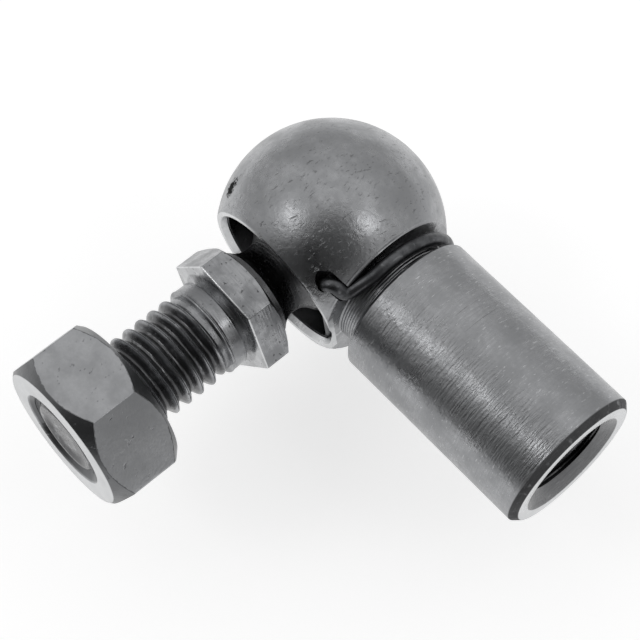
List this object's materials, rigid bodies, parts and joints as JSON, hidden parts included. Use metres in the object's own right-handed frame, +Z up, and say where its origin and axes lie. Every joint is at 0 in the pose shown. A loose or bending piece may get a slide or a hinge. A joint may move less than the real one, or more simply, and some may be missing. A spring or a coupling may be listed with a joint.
{
  "type": "ball joint",
  "caption": "Angle ball joint: a ball socket with a tapped shank, a threaded ball stud with a hexagon, a wire safety clip and a hexagon nut, to join a rod to a lever.",
  "frame": {"origin": "centre of the ball, where the rod's axis and the stud's axis cross", "axes": "+X along the shank towards its tapped end, -Y out of the socket's mouth, +Z up"},
  "size_m": [0.0376, 0.0385, 0.0196],
  "materials": {
    "socket_steel": "turned bare steel with fine tool lines",
    "stud_steel": "turned steel with a rolled thread",
    "clip_steel": "dark drawn spring wire",
    "nut_steel": "cold-formed bare steel"
  },
  "bodies": {
    "socket": {"ball_socket": "socket_steel", "safety_clip": "clip_steel"},
    "stud": {"ball_stud": "stud_steel"},
    "nut": {"hex_nut": "nut_steel"}
  },
  "joints": [
    {"name": "stud_tilt", "type": "hinge", "parent": "socket", "child": "stud", "pos_m": [0, 0, 0], "axis": [-1, 0, 0], "range_deg": [-25, 11]},
    {"name": "nut_travel", "type": "slide", "parent": "stud", "child": "nut", "axis": [0, 0.9925, -0.1219], "range_m": [0, 0.00625]}
  ]
}
